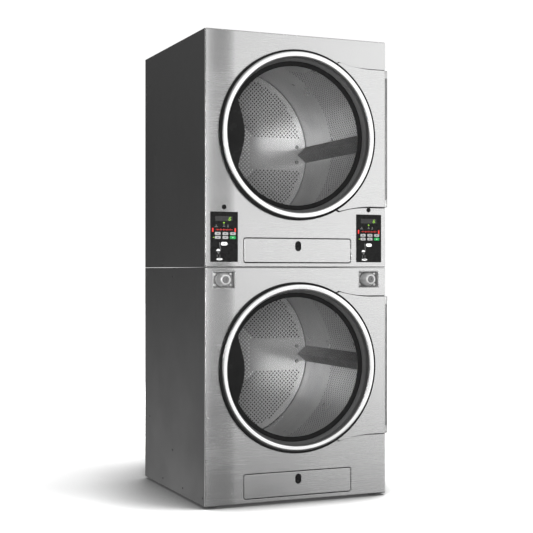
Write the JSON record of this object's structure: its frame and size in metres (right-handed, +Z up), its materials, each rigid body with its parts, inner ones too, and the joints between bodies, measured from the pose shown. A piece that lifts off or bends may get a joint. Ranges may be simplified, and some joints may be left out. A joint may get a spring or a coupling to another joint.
{
  "type": "stacked tumble dryer",
  "caption": "Stacked pair of commercial tumble dryers with round glass doors, lint drawers, coin boxes and a belt drive behind the cabinet.",
  "frame": {"origin": "middle of the footprint at floor level", "axes": "+Z up, -Y towards the user at the doors, +X to the right of someone facing the doors"},
  "size_m": [0.88, 1.206, 2.067],
  "materials": {
    "stainless": "satin brushed sheet",
    "dark_paint": "semi-gloss charcoal paint",
    "galvanised": "dull zinc-coated sheet",
    "bright_trim": "bright satin chrome",
    "drum_steel": "polished perforated sheet",
    "cast_iron": "machined casting",
    "fan_metal": "cast and turned",
    "black_plastic": "satin black moulding",
    "door_glass": "clear toughened",
    "green_key": "green push key"
  },
  "bodies": {
    "cabinet": {"base_pan": "galvanised", "middle_deck": "galvanised", "top_panel": "galvanised", "lower_front_panel": "stainless", "lower_left_side": "dark_paint", "lower_right_side": "dark_paint", "lower_rear_panel": "galvanised", "lower_hinge_post": "dark_paint", "lower_bearing_housing": "cast_iron", "lower_blower_housing": "galvanised", "lower_motor": "dark_paint", "upper_front_panel": "stainless", "upper_left_side": "dark_paint", "upper_right_side": "dark_paint", "upper_rear_panel": "galvanised", "upper_hinge_post": "dark_paint", "upper_bearing_housing": "cast_iron", "upper_blower_housing": "galvanised", "upper_motor": "dark_paint", "front_left_foot": "cast_iron", "front_right_foot": "cast_iron", "rear_left_foot": "cast_iron", "rear_right_foot": "cast_iron", "left_coin_vault": "galvanised", "left_control_panel": "black_plastic", "right_coin_vault": "galvanised", "right_control_panel": "black_plastic"},
    "lower_door": {"lower_door_frame": "stainless", "lower_door_ring": "bright_trim", "lower_door_glass": "door_glass", "lower_door_pull": "black_plastic"},
    "lower_drum": {"lower_drum_shell": "drum_steel", "lower_drum_back": "drum_steel", "lower_drum_pulley": "cast_iron", "lower_baffle_1": "drum_steel", "lower_baffle_2": "drum_steel", "lower_baffle_3": "drum_steel"},
    "lower_idler": {"lower_idler_pulley": "cast_iron"},
    "lower_rotor": {"lower_motor_shaft": "fan_metal"},
    "lower_lint_tray": {"lower_lint_drawer": "stainless"},
    "upper_door": {"upper_door_frame": "stainless", "upper_door_ring": "bright_trim", "upper_door_glass": "door_glass", "upper_door_pull": "black_plastic"},
    "upper_drum": {"upper_drum_shell": "drum_steel", "upper_drum_back": "drum_steel", "upper_drum_pulley": "cast_iron", "upper_baffle_1": "drum_steel", "upper_baffle_2": "drum_steel", "upper_baffle_3": "drum_steel"},
    "upper_idler": {"upper_idler_pulley": "cast_iron"},
    "upper_rotor": {"upper_motor_shaft": "fan_metal"},
    "upper_lint_tray": {"upper_lint_drawer": "stainless"},
    "left_coin_drawer": {"left_coin_box": "bright_trim"},
    "left_lock_cylinder": {"left_coin_lock": "bright_trim"},
    "left_start_key": {"left_start_button": "green_key"},
    "right_coin_drawer": {"right_coin_box": "bright_trim"},
    "right_lock_cylinder": {"right_coin_lock": "bright_trim"},
    "right_start_key": {"right_start_button": "green_key"}
  },
  "joints": [
    {"name": "lower_door_hinge", "type": "hinge", "parent": "cabinet", "child": "lower_door", "pos_m": [0.4335, -0.587, 0.5955], "axis": [0, 0, 1], "range_deg": [0, 170]},
    {"name": "lower_drum_spin", "type": "hinge", "parent": "cabinet", "child": "lower_drum", "pos_m": [-0.002, 0.282, 0.5955], "axis": [0, 1, 0], "continuous": true},
    {"name": "lower_idler_spin", "type": "hinge", "parent": "cabinet", "child": "lower_idler", "pos_m": [0.258, 0.511, 0.36], "axis": [0, 1, 0], "continuous": true},
    {"name": "lower_motor_spin", "type": "hinge", "parent": "cabinet", "child": "lower_rotor", "pos_m": [-0.112, 0.471, 0.18], "axis": [0, 1, 0], "continuous": true},
    {"name": "lower_lint_slide", "type": "slide", "parent": "cabinet", "child": "lower_lint_tray", "axis": [0, -1, 0], "range_m": [0, 0.45]},
    {"name": "upper_door_hinge", "type": "hinge", "parent": "cabinet", "child": "upper_door", "pos_m": [0.4335, -0.587, 1.624], "axis": [0, 0, 1], "range_deg": [0, 170]},
    {"name": "upper_drum_spin", "type": "hinge", "parent": "cabinet", "child": "upper_drum", "pos_m": [-0.002, 0.282, 1.624], "axis": [0, 1, 0], "continuous": true},
    {"name": "upper_idler_spin", "type": "hinge", "parent": "cabinet", "child": "upper_idler", "pos_m": [0.258, 0.511, 1.3885], "axis": [0, 1, 0], "continuous": true},
    {"name": "upper_motor_spin", "type": "hinge", "parent": "cabinet", "child": "upper_rotor", "pos_m": [-0.112, 0.471, 1.2085], "axis": [0, 1, 0], "continuous": true},
    {"name": "upper_lint_slide", "type": "slide", "parent": "cabinet", "child": "upper_lint_tray", "axis": [0, -1, 0], "range_m": [0, 0.45]},
    {"name": "left_coin_slide", "type": "slide", "parent": "cabinet", "child": "left_coin_drawer", "axis": [0, -1, 0], "range_m": [0, 0.12]},
    {"name": "left_lock_turn", "type": "hinge", "parent": "left_coin_drawer", "child": "left_lock_cylinder", "pos_m": [-0.3535, -0.579, 0.985], "axis": [0, 1, 0], "range_deg": [0, 90]},
    {"name": "left_start_press", "type": "slide", "parent": "cabinet", "child": "left_start_key", "axis": [0, 1, 0], "range_m": [0, 0.0015], "stiffness_N_per_m": 600},
    {"name": "right_coin_slide", "type": "slide", "parent": "cabinet", "child": "right_coin_drawer", "axis": [0, -1, 0], "range_m": [0, 0.12]},
    {"name": "right_lock_turn", "type": "hinge", "parent": "right_coin_drawer", "child": "right_lock_cylinder", "pos_m": [0.3495, -0.579, 0.985], "axis": [0, 1, 0], "range_deg": [0, 90]},
    {"name": "right_start_press", "type": "slide", "parent": "cabinet", "child": "right_start_key", "axis": [0, 1, 0], "range_m": [0, 0.0015], "stiffness_N_per_m": 600}
  ],
  "couplings": [
    {"joint": "lower_idler_spin", "follows": "lower_drum_spin", "ratio": 7.5},
    {"joint": "lower_motor_spin", "follows": "lower_drum_spin", "ratio": 40},
    {"joint": "upper_idler_spin", "follows": "upper_drum_spin", "ratio": 7.5},
    {"joint": "upper_motor_spin", "follows": "upper_drum_spin", "ratio": 40}
  ]
}
